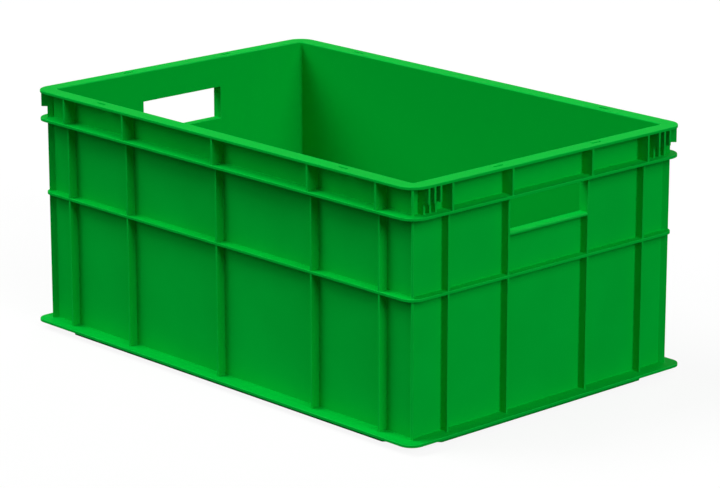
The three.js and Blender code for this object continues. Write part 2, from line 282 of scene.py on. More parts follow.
def inside_borders(spot: np.ndarray, plan: np.ndarray, edges: list[tuple[int, int]]) -> bool:
    """Tells whether a spot lies in the region that closed borders enclose, holes left out.

    Args:
        spot: The spot, in plan.
        plan: The borders' points, in plan.
        edges: Numbers of the two points that each stretch of border joins.

    Returns:
        True for a spot in the region.
    """
    ends = np.array(edges)
    start, stop = plan[ends[:, 0]], plan[ends[:, 1]]
    straddles = (start[:, 1] > spot[1]) != (stop[:, 1] > spot[1])
    start, stop = start[straddles], stop[straddles]
    share = (spot[1] - start[:, 1]) / (stop[:, 1] - start[:, 1])
    crossings = start[:, 0] + share * (stop[:, 0] - start[:, 0]) > spot[0]
    return int(crossings.sum()) % 2 == 1


@dataclass(frozen=True)
class Place:
    """Where a solid that isn't drawn in plan goes: its origin and how its three axes point."""

    origin: Triple = (0.0, 0.0, 0.0)
    across: Triple = (1.0, 0.0, 0.0)
    up: Triple = (0.0, 1.0, 0.0)
    along: Triple = (0.0, 0.0, 1.0)

    def direction(self, x: float, y: float, z: float) -> Triple:
        """A direction given in the solid's own axes, in the crate's."""
        return tuple(x * a + y * b + z * c for a, b, c in zip(self.across, self.up, self.along))

    def point(self, x: float, y: float, z: float) -> Triple:
        """A point given in the solid's own axes, in the crate's."""
        return tuple(o + d for o, d in zip(self.origin, self.direction(x, y, z)))

    @classmethod
    def standing(cls, root: Pair, out: Pair) -> Place:
        """The place of a solid that is drawn upright: out from its root, and up."""
        return cls((*root, 0.0), (*out, 0.0), (0.0, 0.0, 1.0), (out[1], -out[0], 0.0))


@dataclass
class Draft:
    """A mesh in the making, in millimetres.

    It holds its points, its faces, the surface's direction at each face's corners, and how pale
    each
    point is painted at rounded edges: part rubbing, part painted highlight.
    """

    points: list[Triple] = field(default_factory=list)
    faces: list[tuple[int, ...]] = field(default_factory=list)
    directions: list[Triple] = field(default_factory=list)
    edge_rub_and_highlight: list[float] = field(default_factory=list)

    def extrude(self, loops: list[Loop], low: float, high: float, place: Place = Place()) -> None:
        """Adds a closed solid: the region between the loops, carried from one level to another.

        Args:
            loops: The outer outline first, then the holes.
            low: Level of the bottom flat.
            high: Level of the top flat.
            place: Where the solid goes, when it isn't drawn in plan.
        """
        bottom: list[tuple[int, np.ndarray]] = []
        top: list[tuple[int, np.ndarray]] = []
        for loop in loops:
            rings = loop.low.rings(low, False) + loop.high.rings(high, True)
            count = len(loop.points)
            first = len(self.points)
            facings = []
            for level, offset, tilt in rings:
                self.points.extend(place.point(x, y, level) for x, y in loop.ring(offset))
                # Rounds on the ends are painted pale: part rubbing, part painted highlight.
                rubbed_and_highlit = abs(math.sin(2.0 * tilt)) if offset <= 0.0 else 0.0
                self.edge_rub_and_highlight.extend(np.maximum(loop.rub_and_highlight, rubbed_and_highlit))
                before, after = (
                    [place.direction(*facing) for facing in loop.facing(offset, tilt, side)]
                    for side in (-1.0, 1.0)
                )
                facings.append((before, after))
            for row in range(len(rings) - 1):
                self.side(first + row * count, facings[row], facings[row + 1])
            bottom.append((first, loop.ring(rings[0][1])))
            top.append((first + (len(rings) - 1) * count, loop.ring(rings[-1][1])))
        self.cap(bottom, False, place)
        self.cap(top, True, place)

    def side(
        self,
        first: int,
        lower: tuple[list[Triple], list[Triple]],
        upper: tuple[list[Triple], list[Triple]],
    ) -> None:
        """Adds one row of faces between two rings.

        Args:
            first: Number of the lower ring's first point.
            lower: The surface's directions at the lower ring's points, before each and after it.
            upper: The same for the upper ring.
        """
        count = len(lower[0])
        for i in range(count):
            j = (i + 1) % count
            self.faces.append((first + i, first + j, first + count + j, first + count + i))
            self.directions.extend((lower[1][i], lower[0][j], upper[0][j], upper[1][i]))

    def cap(self, borders: list[tuple[int, np.ndarray]], upwards: bool, place: Place) -> None:
        """Adds the flat at one end.

        Args:
            borders: Number of each border ring's first point, and the ring in plan.
            upwards: True for the top flat.
            place: Where the solid goes.
        """
        numbers = [first + i for first, ring in borders for i in range(len(ring))]
        starts = np.cumsum([0] + [len(ring) for _, ring in borders])
        plan = np.vstack([ring for _, ring in borders])
        edges = [
            (int(start + i), int(start + (i + 1) % len(ring)))
            for start, (_, ring) in zip(starts, borders)
            for i in range(len(ring))
        ]
        spots = [Vector(spot) for spot in plan]
        _, _, triangles, sources, _, _ = delaunay_2d_cdt(spots, edges, [], 0, MERGE_DISTANCE)
        direction = place.direction(0.0, 0.0, 1.0 if upwards else -1.0)
        for triangle in triangles:
            corners = [sources[v][0] for v in triangle]
            if not inside_borders(plan[corners].mean(axis=0), plan, edges):
                continue
            if not upwards:
                corners.reverse()
            self.faces.append(tuple(numbers[corner] for corner in corners))
            self.directions.extend([direction] * len(corners))

    def finished(
        self, name: str, plastic: MouldedPlastic, nodes: tuple[str, ...]
    ) -> bpy.types.Object:
        """Makes the piece, dresses it and ties it to the frame.

        Args:
            name: The piece's name.
            plastic: The finish.
            nodes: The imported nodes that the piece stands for.

        Returns:
            The piece.
        """
        mesh = bpy.data.meshes.new(name)
        mesh.from_pydata([tuple(v * MM for v in point) for point in self.points], [], self.faces)
        mesh.shade_smooth()
        mesh.normals_split_custom_set([Vector(d).normalized() for d in self.directions])
        # The paler rounded edges, part rubbing and part painted highlight, go to the material as a
        # point attribute.
        rubbed_and_highlit = mesh.attributes.new("edge_rub_and_highlight", "FLOAT", "POINT")
        rubbed_and_highlit.data.foreach_set("value", np.array(self.edge_rub_and_highlight, np.float32))
        mesh.update()
        mesh.materials.append(plastic.material)
        piece = bpy.data.objects.new(name, mesh)
        bpy.context.scene.collection.objects.link(piece)
        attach(piece, "root")
        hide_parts(*nodes)
        return piece


@dataclass(frozen=True)
class Levels:
    """Heights of the crate's flats above the ground."""

    foot: float = 8.0
    base: float = 11.0
    middle_belt: Pair = (153.0, 156.0)
    sill: Pair = (196.5, 199.5)
    upper_belt: Pair = (236.0, 239.0)
    notch: float = 250.6
    rim: Pair = (267.0, 270.0)


@dataclass(frozen=True)
class Plan:
    """Sizes in plan that several pieces share."""

    length: float = 600.0
    width: float = 400.0
    wall_inset: float = 18.5
    wall_thickness: float = 2.5
    inside_radius: float = 3.0
    root_radius: float = 1.0
    front_radius: float = 0.5
    fillet: float = 0.8

    def half(self, inset: float) -> Pair:
        """Half the length and half the width of the rectangle this far inside the footprint."""
        return self.length / 2 - inset, self.width / 2 - inset

    @property
    def outer(self) -> Pair:
        """Half sizes of the walls' outer faces."""
        return self.half(self.wall_inset)

    @property
    def inner(self) -> Pair:
        """Half sizes of the walls' inner faces."""
        return self.half(self.wall_inset + self.wall_thickness)

    @property
    def opening(self) -> list[Corner]:
        """Corners of the walls' inner outline, as a hole."""
        return rectangle(self.inner, self.inside_radius, hole=True)


@dataclass(frozen=True)
class Rib:
    """An upright rib: its place along the side and how far it stands out."""

    place: float
    depth: float
    half: float = 1.25

    def corners(self, plan: Plan) -> list[tuple[float, ...]]:
        """The rib's corners. The front ones take no flare.

        Args:
            plan: The radii that all ribs share.

        Returns:
            Place along the side and outwards, radius and flare of each corner.
        """
        behind = self.depth - 2 * plan.front_radius
        low, high = self.place - self.half, self.place + self.half
        return [
            (low, 0.0, plan.root_radius, 1.0),
            (low, behind, 0.0, 1.0),
            (low, self.depth, plan.front_radius, 0.0),
            (high, self.depth, plan.front_radius, 0.0),
            (high, behind, 0.0, 1.0),
            (high, 0.0, plan.root_radius, 1.0),
        ]


class Side(Enum):
    """The four sides, in the order that an anticlockwise walk meets them."""

    RIGHT = 0
    BACK = 1
    LEFT = 2
    FRONT = 3

    @property
    def is_end(self) -> bool:
        """True for the two short sides."""
        return self in (Side.RIGHT, Side.LEFT)

    def half_length(self, plan: Plan) -> float:
        """Half the length of the side's wall."""
        return plan.outer[1] if self.is_end else plan.outer[0]

    def spot(self, plan: Plan, along: float, out: float) -> Pair:
        """A place beside the side's wall.

        Args:
            plan: The walls' sizes.
            along: How far along the side it is from the middle.
            out: How far out it is from the wall's outer face.

        Returns:
            The place, in plan.
        """
        face = plan.outer[0] if self.is_end else plan.outer[1]
        turn = self.value * QUARTER
        c, s = round(math.cos(turn)), round(math.sin(turn))
        return (face + out) * c - along * s, (face + out) * s + along * c

    def trace(self, plan: Plan, drawn: list[tuple[float, ...]]) -> list[Corner]:
        """Corners in plan, from their places along the side and outwards, radii and flares."""
        return [Corner(*self.spot(plan, along, out), *rest) for along, out, *rest in drawn]


@dataclass(frozen=True)
class RibLayout:
    """Where the ribs stand on the long sides and on the ends."""

    long_side: tuple[float, ...] = (-244.0, -145.0, 0.0, 145.0, 244.0)
    end: tuple[float, ...] = (-141.0, -57.5, 57.5, 141.0)

    def on(self, side: Side) -> tuple[float, ...]:
        """Places of the ribs on one side."""
        return self.end if side.is_end else self.long_side


@dataclass(frozen=True)
class CornerFin:
    """The fin that stands out diagonally from each corner of the walls."""

    thickness: float = 2.5
    reach: float = 6.0

    def corners(self, side: Side, plan: Plan) -> list[Corner]:
        """The fin at the end of a side, from its root on this side to its root on the next.

        Args:
            side: The side.
            plan: The walls' sizes.

        Returns:
            The corners, in plan.
        """
        seat = self.thickness / math.sqrt(2.0)
        tip = self.reach / math.sqrt(2.0)
        end = side.half_length(plan)
        drawn = [
            (end - seat, 0.0, plan.root_radius),
            (end + tip - seat / 2, tip + seat / 2, plan.front_radius),
            (end + tip + seat / 2, tip - seat / 2, plan.front_radius),
            (end, -seat, plan.root_radius),
        ]
        return side.trace(plan, drawn)


@dataclass(frozen=True)
class Blotches:
    """Soft random blotches: how far apart, how ragged, and how high where they are bumps."""

    spacing: float
    detail: float = 2.0
    height: float = 0.0

    @property
    def scale(self) -> float:
        """Blotches in a metre."""
        return 1.0 / (self.spacing * MM)


@dataclass(frozen=True)
class Scuffs:
    """Hair-thin handling marks that all lie one way: their size in millimetres and their slant.

    They show where a noise is over the limits, so the limits keep them few.
    """

    length: float
    width: float
    slant: Triple
    limits: Pair = (0.70, 0.74)

    @property
    def stretch(self) -> Triple:
        """Marks in a metre, along their length and both ways across it."""
        return tuple(1.0 / (size * MM) for size in (self.length, self.width, self.width))


@dataclass
class Recipe:
    """The node tree of one finish, with short ways to add a node and feed it."""

    tree: bpy.types.NodeTree

    @cached_property
    def where(self) -> Socket:
        """Place on the crate."""
        return self.node("ShaderNodeTexCoord", {}).outputs["Object"]

    def feed(self, socket: Socket, value: Feed) -> None:
        """Fills an input.

        Args:
            socket: The input.
            value: Another node's output to join to it, or its plain value.
        """
        if isinstance(value, Socket):
            self.tree.links.new(value, socket)
        else:
            socket.default_value = value

    def node(self, kind: str, inputs: dict[str | int, Feed], **settings: str) -> bpy.types.Node:
        """Adds a node.

        Args:
            kind: The node's type.
            inputs: What each of its inputs takes: a plain value or another node's output.
            settings: Its other settings.

        Returns:
            The node.
        """
        node = self.tree.nodes.new(kind)
        for name, value in settings.items():
            setattr(node, name, value)
        for name, value in inputs.items():
            self.feed(node.inputs[name], value)
        return node

    def sum_up(self, operation: str, *values: Feed) -> Socket:
        """The result of a sum on plain values and other nodes' outputs."""
        return self.node("ShaderNodeMath", dict(enumerate(values)), operation=operation).outputs[0]

    def noise(self, blotches: Blotches) -> Socket:
        """Blotches over the surface, from 0 to 1."""
        inputs = {"Vector": self.where, "Scale": blotches.scale, "Detail": blotches.detail}
        return self.node("ShaderNodeTexNoise", inputs).outputs["Fac"]

    def between(self, value: Socket, limits: Pair) -> Socket:
        """The part of a value between two limits, spread over 0 to 1."""
        inputs = {"Value": value, "From Min": limits[0], "From Max": limits[1]}
        return self.node("ShaderNodeMapRange", inputs).outputs["Result"]

    def blend(self, share: Feed, first: Feed, second: Feed) -> Socket:
        """A mix of two colours.

        Args:
            share: How much of the second colour it has.
            first: The first colour.
            second: The second colour.

        Returns:
            The mixed colour.
        """
        node = self.node("ShaderNodeMix", {}, data_type="RGBA")
        inputs = {"Factor": share, "A": first, "B": second}
        for socket in node.inputs:
            if socket.enabled and socket.name in inputs:
                self.feed(socket, inputs[socket.name])
        return next(socket for socket in node.outputs if socket.enabled)

    def shown(self) -> Socket:
        """Picks out the rays that show a thing, straight or in something shiny or clear.

        Returns:
            1 for those rays and 0 for light.
        """
        path = self.node("ShaderNodeLightPath", {}).outputs
        mirrored = self.sum_up("MAXIMUM", path["Is Glossy Ray"], path["Is Transmission Ray"])
        return self.sum_up("MAXIMUM", path["Is Camera Ray"], mirrored)


@dataclass(frozen=True)
class MouldedPlastic:
    """Green polypropylene as it leaves the mould: almost no gloss, a fine grain, edges painted
    paler (part rubbing, part painted highlight) and a painted shade on the inside.
    """

    name: str = "green_moulded_plastic"
    colour: Colour = (0.0, 0.57, 0.047, 1.0)
    deep_colour: Colour = (0.0, 0.54, 0.043, 1.0)
    # Darker green painted on the inside of the crate as shade.
    painted_inside_shade_colour: Colour = (0.0, 0.49, 0.040, 1.0)
    # Paler green on rounded edges: part rubbed plastic, part a painted highlight.
    rub_and_highlight_colour: Colour = (0.012, 0.66, 0.075, 1.0)
    scuff_colour: Colour = (0.03, 0.63, 0.09, 1.0)
    specular: float = 0.004
    specular_tint: Colour = (0.35, 1.0, 0.5, 1.0)

    roughness: float = 0.46
    clouded_roughness: float = 0.12
    rubbed_smoothness: float = 0.1
    scuffed_roughness: float = 0.15

    clouding: Blotches = Blotches(70.0, 3.0)
    cloud_limits: Pair = (0.35, 0.65)
    waviness: Blotches = Blotches(40.0, height=0.06)
    orange_peel: Blotches = Blotches(5.0, height=0.012)
    grain: Blotches = Blotches(0.7, height=0.004)

    # The edges' paling, part rubbing and part painted highlight, comes in uneven stretches.
    rub_and_highlight_stretches: Blotches = Blotches(18.0, 3.0)
    stretch_limits: Pair = (0.3, 0.7)
    least_rub_and_highlight: float = 0.4

    scuffs: tuple[Scuffs, Scuffs] = (
        Scuffs(60.0, 0.5, (0.2, 0.3, 0.15)),
        Scuffs(35.0, 0.4, (1.1, 0.5, 1.9)),
    )
    scuffed_patches: Blotches = Blotches(90.0)
    patch_limits: Pair = (0.5, 0.65)
    scuff_strength: float = 0.35
    scuff_depth: float = 0.005

    # How far into the walls and the floor the painted inside shade reaches.
    wall_skin: float = 0.4
    plan: Plan = Plan()

    @cached_property
    def material(self) -> bpy.types.Material:
        """The material, made once and shared by all the pieces.

        Returns:
            The material.
        """
        material = bpy.data.materials.new(self.name)
        material.use_nodes = True
        recipe = PlasticRecipe(material.node_tree, self)
        inputs = material.node_tree.nodes["Principled BSDF"].inputs
        recipe.feed(inputs["Base Color"], recipe.tint())
        recipe.feed(inputs["Roughness"], recipe.sheen())
        recipe.feed(inputs["Normal"], recipe.relief())
        inputs["Specular IOR Level"].default_value = self.specular
        inputs["Specular Tint"].default_value = self.specular_tint
        return material


@dataclass
class PlasticRecipe(Recipe):
    """The nodes that give moulded plastic its look. Its masks run from 0 to 1."""

    plastic: MouldedPlastic

    @cached_property
    def clouds(self) -> Socket:
        """Slow change over the surface."""
        return self.noise(self.plastic.clouding)

    @cached_property
    def rubbed_and_highlit(self) -> Socket:
        """Rounded edges painted pale in uneven stretches: part rubbing, part painted highlight.

        Returns:
            How pale each spot is painted: part rubbing, part painted highlight.
        """
        least = self.plastic.least_rub_and_highlight
        edge = self.node("ShaderNodeAttribute", {}, attribute_name="edge_rub_and_highlight").outputs["Fac"]
        noise = self.noise(self.plastic.rub_and_highlight_stretches)
        stretches = self.between(noise, self.plastic.stretch_limits)
        uneven = self.sum_up("MULTIPLY_ADD", stretches, 1.0 - least, least)
        return self.sum_up("MULTIPLY", edge, uneven)

    @cached_property
    def marks(self) -> Socket:
        """Thin scuffs in patches.

        Returns:
            How far each spot is scuffed.
        """
        first, second = (self.streaks(scuffs) for scuffs in self.plastic.scuffs)
        patches = self.between(self.noise(self.plastic.scuffed_patches), self.plastic.patch_limits)
        return self.sum_up("MULTIPLY", self.sum_up("MAXIMUM", first, second), patches)

    def streaks(self, scuffs: Scuffs) -> Socket:
        """Handling marks that all lie one way.

        Args:
            scuffs: Their size and slant.

        Returns:
            1 on a mark and 0 off it.
        """
        inputs = {"Vector": self.where, "Rotation": scuffs.slant}
        turned = self.node("ShaderNodeMapping", inputs).outputs[0]
        inputs = {"Vector": turned, "Scale": scuffs.stretch}
        drawn = self.node("ShaderNodeMapping", inputs).outputs[0]
        inputs = {"Vector": drawn, "Scale": 1.0, "Detail": 1.0}
        return self.between(self.node("ShaderNodeTexNoise", inputs).outputs["Fac"], scuffs.limits)

    def painted_inside_shade(self) -> Socket:
        """Picks out the inside of the crate, where a darker colour is painted as shade.

        Returns:
            1 on the inside and 0 elsewhere.
        """
        skin = self.plastic.wall_skin
        place = self.node("ShaderNodeSeparateXYZ", {0: self.where}).outputs
        inside = self.sum_up("GREATER_THAN", place["Z"], (Levels.base - skin) * MM)
        for axis, half in zip("XY", self.plastic.plan.inner):
            away = self.sum_up("ABSOLUTE", place[axis])
            within = self.sum_up("LESS_THAN", away, (half + skin) * MM)
            inside = self.sum_up("MULTIPLY", inside, within)
        return inside

    def tint(self) -> Socket:
        """The colour at each spot, with painted shade inside the crate and a painted highlight on
        rounded edges.

        Returns:
            The colour.
        """
        plastic = self.plastic
        share = self.between(self.clouds, plastic.cloud_limits)
        clouded = self.blend(share, plastic.deep_colour, plastic.colour)
        # Painted shade: the inside of the crate gets a darker colour.
        plain = self.blend(self.painted_inside_shade(), clouded, plastic.painted_inside_shade_colour)
        paled = self.sum_up("MULTIPLY", self.marks, plastic.scuff_strength)
        scuffed = self.blend(paled, plain, plastic.scuff_colour)
        # Rounded edges get paler: part rubbing, part painted highlight.
        return self.blend(self.rubbed_and_highlit, scuffed, plastic.rub_and_highlight_colour)

    def sheen(self) -> Socket:
        """The roughness at each spot: smoother on rubbed edges and rougher on scuffs.

        Returns:
            The roughness.
        """
        change = self.plastic.clouded_roughness
        least = self.plastic.roughness - change / 2
        slow = self.sum_up("MULTIPLY_ADD", self.clouds, change, least)
        rubbed = self.sum_up("MULTIPLY_ADD", self.rubbed_and_highlit, -self.plastic.rubbed_smoothness, slow)
        return self.sum_up("MULTIPLY_ADD", self.marks, self.plastic.scuffed_roughness, rubbed)

    def relief(self) -> Socket:
        """The surface's direction after waves, orange peel, grain and scuffs have tilted it.

        Returns:
            The direction.
        """
        plastic = self.plastic
        height = self.sum_up("MULTIPLY", self.marks, -plastic.scuff_depth)
        for layer in (plastic.waviness, plastic.orange_peel, plastic.grain):
            height = self.sum_up("MULTIPLY_ADD", self.noise(layer), layer.height, height)
        inputs = {"Height": height, "Distance": MM, "Strength": 1.0}
        return self.node("ShaderNodeBump", inputs).outputs["Normal"]


@dataclass
class Piece:
    """A piece of the crate: what it shares with the others, what it stands for, and its mesh.

    Each kind of piece has its own shape.
    """

    plan: Plan
    levels: Levels
    plastic: MouldedPlastic
    _: KW_ONLY
    name: str
    nodes: tuple[str, ...]
    draft: Draft = field(init=False, default_factory=Draft)

    def shape(self) -> None:
        """Adds the piece's solids to its mesh."""
        raise NotImplementedError

    def build(self) -> bpy.types.Object:
        """Makes the piece, dresses it and ties it to the frame."""
        self.shape()
        return self.draft.finished(self.name, self.plastic, self.nodes)


@dataclass
class FootPiece(Piece):
    """The sizes in plan that the foot's band and the ribs inside it share."""

    inset: float = 12.6
    thickness: float = 5.4
    chamfer: float = 42.4
    corner_radius: float = 2.0

    def outline(self, inset: float, chamfer: float) -> list[Corner]:
        """A rectangle with cut-off corners.

        Args:
            inset: How far inside the footprint it is.
            chamfer: How much each cut takes off either side.

        Returns:
            Its corners, anticlockwise.
        """
        x, y = self.plan.half(inset)
        places = [
            (x, chamfer - y),
            (x, y - chamfer),
            (x - chamfer, y),
            (chamfer - x, y),
            (-x, y - chamfer),
            (-x, chamfer - y),
            (chamfer - x, -y),
            (x - chamfer, -y),
        ]
        return [Corner(*place, self.corner_radius) for place in places]

    def inside(self, extra: float = 0.0) -> list[Corner]:
        """Outline of the space inside the band, made smaller by an extra inset."""
        inset = self.thickness + extra
        return self.outline(self.inset + inset, self.chamfer - inset * CUT_SHRINK)


@dataclass
class FootBand(FootPiece):
    """The low band that the crate stands on."""

    name: str = "foot_band"
    nodes: tuple[str, ...] = ("stacking_foot",)
    outer_round: float = 0.6
    inner_round: float = 0.4

    def shape(self) -> None:
        """Adds the band, filleted to the base plate."""
        corners = self.outline(self.inset, self.chamfer)
        outer = Loop(corners, rounded(self.outer_round), flared(self.plan.fillet))
        inner = Loop(self.inside()[::-1], rounded(self.inner_round))
        self.draft.extrude([outer, inner], 0.0, self.levels.foot)


@dataclass
class UndersideRibs(FootPiece):
    """The crossed ribs under the floor: one plate with a cell cut between each pair of them."""

    name: str = "underside_ribs"
    nodes: tuple[str, ...] = ("floor_ribs",)
    clearance: float = 1.5
    rib_thickness: float = 2.0
    edge_round: float = 0.3
    ribs_along: int = 6
    ribs_across: int = 10
    frame_width: float = 1.0
    cell_radius: float = 1.5

    def gap(self, index: int, ribs: int, half: float) -> Pair:
        """The gap between two ribs, kept off the band by the frame.

        Args:
            index: Number of the gap.
            ribs: Number of ribs.
            half: Half the width that the ribs are spread over.

        Returns:
            Both its edges.
        """
        side, limit = self.rib_thickness / 2, half - self.frame_width
        low = half * (2 * index / (ribs + 1) - 1) + side
        high = half * (2 * (index + 1) / (ribs + 1) - 1) - side
        return max(low, -limit), min(high, limit)

    def cell(self, xs: Pair, ys: Pair) -> list[Corner]:
        """One cell between the ribs, cut off where it meets the band's corner.

        Args:
            xs: Its lowest and highest place along the crate.
            ys: Its lowest and highest place across the crate.

        Returns:
            Its corners, clockwise.
        """
        x_limit, y_limit = self.plan.half(self.inset + self.thickness + self.frame_width)
        cut_length = x_limit - abs(self.inside(self.frame_width)[2].x)
        places: list[Pair] = []
        for x, y in product(xs, ys):
            if abs(x) < x_limit - TINY or abs(y) < y_limit - TINY:
                places.append((x, y))
            else:
                places.append((x - math.copysign(cut_length, x), y))
                places.append((x, y - math.copysign(cut_length, y)))
        middle = sum(xs) / 2, sum(ys) / 2
        places.sort(key=lambda place: math.atan2(middle[1] - place[1], place[0] - middle[0]))
        return [Corner(*place, self.cell_radius) for place in places]

    def shape(self) -> None:
        """Adds the plate, filleted to the base plate."""
        half_x, half_y = self.plan.half(self.inset + self.thickness)
        columns = [self.gap(i, self.ribs_across, half_x) for i in range(self.ribs_across + 1)]
        rows = [self.gap(i, self.ribs_along, half_y) for i in range(self.ribs_along + 1)]
        loops = [Loop(self.inside())]
        for xs, ys in product(columns, rows):
            cell = self.cell(xs, ys)
            loops.append(Loop(cell, rounded(self.edge_round), flared(self.plan.fillet)))
        self.draft.extrude(loops, self.clearance, self.levels.foot)


@dataclass(kw_only=True)
class Plate(Piece):
    """A flat plate with rounded corners and the walls' opening through it, unless it is closed."""

    level: Pair
    inset: float
    corner_radius: float
    top_round: float = 0.6
    bottom_round: float = 0.3
    is_closed: bool = False

    def holes(self) -> list[Loop]:
        """The holes through the plate."""
        return [] if self.is_closed else [Loop(self.plan.opening)]

    def shape(self) -> None:
        """Adds the plate."""
        corners = rectangle(self.plan.half(self.inset), self.corner_radius)
        outer = Loop(corners, rounded(self.bottom_round), rounded(self.top_round))
        self.draft.extrude([outer, *self.holes()], *self.level)


@dataclass(kw_only=True)
class BasePlate(Plate):
    """The plate with the flange outside the walls and the floor inside them."""

    name: str = "base_plate"
    nodes: tuple[str, ...] = ("base_flange", "floor_panel")
    inset: float = 0.0
    corner_radius: float = 15.0
    top_round: float = 0.7
    is_closed: bool = True


@dataclass(kw_only=True)
class FlushBelt(Plate):
    """The belt round the walls that is flush with the ribs."""

    name: str = "flush_belt"
    nodes: tuple[str, ...] = ("middle_belt",)
    inset: float = 8.5
    corner_radius: float = 14.5


@dataclass(kw_only=True)
class WideBelt(Plate):
    """The belt round the walls that is as wide as the rim."""

    name: str = "wide_belt"
    nodes: tuple[str, ...] = ("upper_belt",)
    inset: float = 3.0
    corner_radius: float = 20.0


@dataclass(kw_only=True)
class Rim(Plate):
    """The flat frame round the top, with two small slots through each side."""

    name: str = "rim_frame"
    nodes: tuple[str, ...] = ("top_rim",)
    inset: float = 3.0
    corner_radius: float = 20.0
    top_round: float = 0.7
    inner_round: float = 1.5
    slot_length: float = 14.0
    slot_width: float = 3.0
    slot_end_flat: float = 0.02
    slot_round: float = 0.3
    slot_edge_distance: float = 9.5
    long_side_slot: float = 189.5
    end_slot: float = 70.5

    def slot(self, middle: Pair, along_x: bool) -> Loop:
        """One slot with round ends.

        Args:
            middle: Its middle.
            along_x: True where it runs along the crate.

        Returns:
            The slot, as a hole.
        """
        half = self.slot_length / 2, self.slot_width / 2
        radius = (self.slot_width - self.slot_end_flat) / 2
        corners = rectangle(half if along_x else half[::-1], radius, hole=True, middle=middle)
        return Loop(corners, rounded(self.slot_round), rounded(self.slot_round))

    def holes(self) -> list[Loop]:
        """The opening inside the walls and the eight slots.

        Returns:
            The holes.
        """
        holes = [Loop(self.plan.opening, SQUARE, rounded(self.inner_round))]
        line_x, line_y = self.plan.half(self.inset + self.slot_edge_distance)
        for sx, sy in product((-1, 1), repeat=2):
            holes.append(self.slot((sx * self.long_side_slot, sy * line_y), True))
            holes.append(self.slot((sx * line_x, sy * self.end_slot), False))
        return holes


@dataclass(kw_only=True)
class WallBand(Piece):
    """The ribbed walls between two plates, all the way round."""

    level: Pair
    ribs: RibLayout
    rib_depth: float
    fin: CornerFin | None = None
    wall_corner_radius: float = 1.0
    floor_fillet: float = 0.0

    def walk(self, side: Side, first: float = -math.inf, last: float = math.inf) -> list[Corner]:
        """Outer corners along a side, with its ribs between two places.

        Args:
            side: The side to walk along.
            first: Ribs before this place are left out.
            last: Ribs after this place are left out.

        Returns:
            The corners, in plan.
        """
        corners = []
        for place in self.ribs.on(side):
            if first <= place <= last:
                corners += side.trace(self.plan, Rib(place, self.rib_depth).corners(self.plan))
        return corners

    def turn(self, side: Side) -> list[Corner]:
        """The walls' corner after a side, with its fin if there is one.

        Args:
            side: The side.

        Returns:
            Its outer corners, in plan.
        """
        if self.fin:
            return self.fin.corners(side, self.plan)
        return side.trace(self.plan, [(side.half_length(self.plan), 0.0, self.wall_corner_radius)])

    def ring(self, low: float, high: float, high_end: End) -> None:
        """Adds a stretch of wall that runs all the way round.

        Args:
            low: Bottom level.
            high: Top level.
            high_end: How the outside meets what is over it.
        """
        outside = [corner for side in Side for corner in self.walk(side) + self.turn(side)]
        outer = Loop(outside, flared(self.plan.fillet), high_end)
        floor = flared(self.floor_fillet) if self.floor_fillet else SQUARE
        self.draft.extrude([outer, Loop(self.plan.opening, floor)], low, high)

    def shape(self) -> None:
        """Adds the band, filleted to the plates under and over it."""
        self.ring(*self.level, flared(self.plan.fillet))


@dataclass(kw_only=True)
class HandHoleBand(WallBand):
    """A band of wall with a hand hole through each end, and a rounded sill along its bottom."""

    hole_half: float = 56.25
    jamb_round: float = 0.8
    sill_round: float = 2.0
    sill_edge: float = 0.4

    def half_round(self, across: Side) -> None:
        """Adds the walls beside the holes: one long side with half of each end.

        Args:
            across: The long side that this half holds.
        """
        before, after = (Side.LEFT, Side.RIGHT) if across is Side.FRONT else (Side.RIGHT, Side.LEFT)
        plan, front = self.plan, self.rib_depth
        rib = self.ribs.end[-2] + Rib.half
        inner = -plan.wall_thickness
        jamb = [
            (self.hole_half, inner, self.jamb_round, 0.0),
            (self.hole_half, front, plan.front_radius, 0.0),
            (rib, front, plan.front_radius, 0.0),
            (rib, front - 2 * plan.front_radius, 0.0, 1.0),
            (rib, 0.0, plan.root_radius, 1.0),
        ]
        far_jamb = [(-along, *rest) for along, *rest in reversed(jamb)]
        inside = [(end, inner, plan.inside_radius, 0.0) for end in (plan.inner[0], -plan.inner[0])]
        corners = before.trace(plan, jamb)
        corners += self.walk(before, first=rib) + self.turn(before)
        corners += self.walk(across) + self.turn(across)
        corners += self.walk(after, last=-rib) + after.trace(plan, far_jamb)
        corners += across.trace(plan, inside)
        loop = Loop(corners, SQUARE, flared(plan.fillet))
        self.draft.extrude([loop], self.levels.sill[0], self.level[1])

    def sill_bar(self, side: Side) -> None:
        """Adds the sill along the bottom of one hand hole.

        Args:
            side: The end that it is on.
        """
        low, high = self.levels.sill
        inner = -self.plan.wall_thickness
        section = [
            Corner(inner, low),
            Corner(self.rib_depth, low, self.sill_edge),
            Corner(self.rib_depth, high, self.sill_round),
            Corner(inner, high, self.jamb_round),
        ]
        out = 1.0 if side is Side.RIGHT else -1.0
        place = Place.standing((out * self.plan.outer[0], 0.0), (out, 0.0))
        self.draft.extrude([Loop(section)], -self.hole_half, self.hole_half, place)

    def shape(self) -> None:
        """Adds the band under the holes, the walls beside them, and the two sills."""
        self.ring(self.level[0], self.levels.sill[0], SQUARE)
        for across in (Side.FRONT, Side.BACK):
            self.half_round(across)
        for side in (Side.RIGHT, Side.LEFT):
            self.sill_bar(side)


